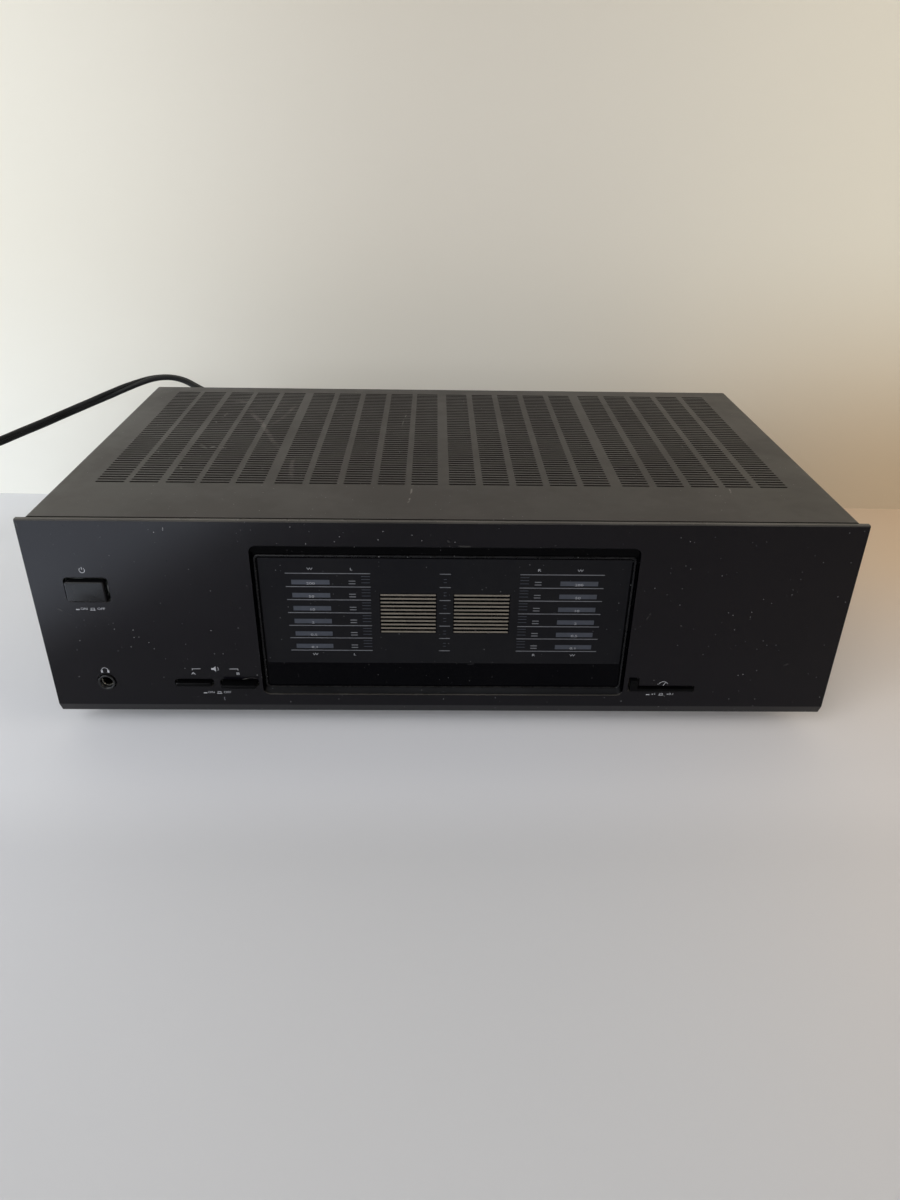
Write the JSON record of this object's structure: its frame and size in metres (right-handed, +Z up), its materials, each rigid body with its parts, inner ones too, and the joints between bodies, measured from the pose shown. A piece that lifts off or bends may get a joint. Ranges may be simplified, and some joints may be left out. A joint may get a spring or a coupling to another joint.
{
  "type": "power amplifier",
  "caption": "Full-width hi-fi power amplifier: slotted steel cover, dark front panel with a wide level-meter window, push controls, headphone socket and mains lead.",
  "frame": {"origin": "bottom centre of the case's box, on the surface that the feet stand on", "axes": "+X to the right and +Z up, seen from the front; the front panel faces -Y"},
  "size_m": [0.7093, 0.3283, 0.1329],
  "materials": {
    "front_panel": "satin black, fine grain",
    "cover_paint": "semi-matte warm dark grey",
    "zinc_steel": "plated sheet",
    "black_plastic": "moulded, satin",
    "red_plastic": "moulded, satin",
    "window": "dark clear plate",
    "tube_glass": "polished",
    "aluminium": "extruded",
    "rubber": "matte",
    "cord_sheath": "smooth",
    "board": "lacquered laminate",
    "lamination": "varnished",
    "tape": "wound film",
    "sleeve": "shrunk sleeve",
    "nickel": "polished",
    "gold": "polished"
  },
  "bodies": {
    "chassis": {"front_panel": "front_panel", "sub_panel": "zinc_steel", "display_bezel": "black_plastic", "display_window": "window", "display_tube": "tube_glass", "display_board": "board", "power_switch_body": "zinc_steel", "speaker_switch_body": "zinc_steel", "meter_switch_body": "zinc_steel", "phones_jack": "black_plastic", "top_cover": "cover_paint", "side_screw_front_left": "zinc_steel", "side_screw_front_right": "zinc_steel", "side_screw_rear_left": "zinc_steel", "side_screw_rear_right": "zinc_steel", "rear_screw_left": "zinc_steel", "rear_screw_middle": "zinc_steel", "rear_screw_right": "zinc_steel", "chassis_pan": "zinc_steel", "foot_front_left": "rubber", "foot_front_right": "rubber", "foot_rear_left": "rubber", "foot_rear_right": "rubber", "rear_panel": "cover_paint", "terminal_block": "black_plastic", "input_jack_block": "black_plastic", "input_jack_left": "nickel", "input_jack_right": "gold", "strain_relief": "rubber", "heat_sink_left": "aluminium", "heat_sink_right": "aluminium", "transformer_core": "lamination", "transformer_winding": "tape", "transformer_strap": "zinc_steel", "main_board": "board", "filter_capacitor_left": "sleeve", "filter_capacitor_right": "sleeve", "speaker_relay": "black_plastic", "mains_cord": "cord_sheath", "cord_coil": "cord_sheath", "mains_plug": "black_plastic", "output_transistor_1": "black_plastic", "output_transistor_2": "black_plastic", "output_transistor_3": "black_plastic", "output_transistor_4": "black_plastic"},
    "power_button": {"power_button": "black_plastic"},
    "speaker_key_a": {"speaker_key_a": "black_plastic"},
    "speaker_key_b": {"speaker_key_b": "black_plastic"},
    "meter_range_key": {"meter_range_key": "black_plastic"},
    "terminal_lever_1": {"terminal_lever_1": "black_plastic"},
    "terminal_lever_2": {"terminal_lever_2": "red_plastic"},
    "terminal_lever_3": {"terminal_lever_3": "black_plastic"},
    "terminal_lever_4": {"terminal_lever_4": "red_plastic"},
    "terminal_lever_5": {"terminal_lever_5": "black_plastic"},
    "terminal_lever_6": {"terminal_lever_6": "red_plastic"},
    "terminal_lever_7": {"terminal_lever_7": "black_plastic"},
    "terminal_lever_8": {"terminal_lever_8": "red_plastic"}
  },
  "joints": [
    {"name": "power_button_slide", "type": "slide", "parent": "chassis", "child": "power_button", "axis": [0, 1, 0], "range_m": [0, 0.003]},
    {"name": "speaker_key_a_slide", "type": "slide", "parent": "chassis", "child": "speaker_key_a", "axis": [0, 1, 0], "range_m": [-0.0023, 0.0005]},
    {"name": "speaker_key_b_slide", "type": "slide", "parent": "chassis", "child": "speaker_key_b", "axis": [0, 1, 0], "range_m": [0, 0.0028]},
    {"name": "meter_range_key_slide", "type": "slide", "parent": "chassis", "child": "meter_range_key", "axis": [0, 1, 0], "range_m": [0, 0.0018]},
    {"name": "terminal_lever_1_hinge", "type": "hinge", "parent": "chassis", "child": "terminal_lever_1", "pos_m": [0.0195, 0.1221, 0.082], "axis": [-1, 0, 0], "range_deg": [0, 25], "stiffness_Nm_per_rad": 0.04},
    {"name": "terminal_lever_2_hinge", "type": "hinge", "parent": "chassis", "child": "terminal_lever_2", "pos_m": [0.0385, 0.1221, 0.082], "axis": [-1, 0, 0], "range_deg": [0, 25], "stiffness_Nm_per_rad": 0.04},
    {"name": "terminal_lever_3_hinge", "type": "hinge", "parent": "chassis", "child": "terminal_lever_3", "pos_m": [0.0575, 0.1221, 0.082], "axis": [-1, 0, 0], "range_deg": [0, 25], "stiffness_Nm_per_rad": 0.04},
    {"name": "terminal_lever_4_hinge", "type": "hinge", "parent": "chassis", "child": "terminal_lever_4", "pos_m": [0.0765, 0.1221, 0.082], "axis": [-1, 0, 0], "range_deg": [0, 25], "stiffness_Nm_per_rad": 0.04},
    {"name": "terminal_lever_5_hinge", "type": "hinge", "parent": "chassis", "child": "terminal_lever_5", "pos_m": [0.0195, 0.1221, 0.062], "axis": [-1, 0, 0], "range_deg": [0, 25], "stiffness_Nm_per_rad": 0.04},
    {"name": "terminal_lever_6_hinge", "type": "hinge", "parent": "chassis", "child": "terminal_lever_6", "pos_m": [0.0385, 0.1221, 0.062], "axis": [-1, 0, 0], "range_deg": [0, 25], "stiffness_Nm_per_rad": 0.04},
    {"name": "terminal_lever_7_hinge", "type": "hinge", "parent": "chassis", "child": "terminal_lever_7", "pos_m": [0.0575, 0.1221, 0.062], "axis": [-1, 0, 0], "range_deg": [0, 25], "stiffness_Nm_per_rad": 0.04},
    {"name": "terminal_lever_8_hinge", "type": "hinge", "parent": "chassis", "child": "terminal_lever_8", "pos_m": [0.0765, 0.1221, 0.062], "axis": [-1, 0, 0], "range_deg": [0, 25], "stiffness_Nm_per_rad": 0.04}
  ]
}
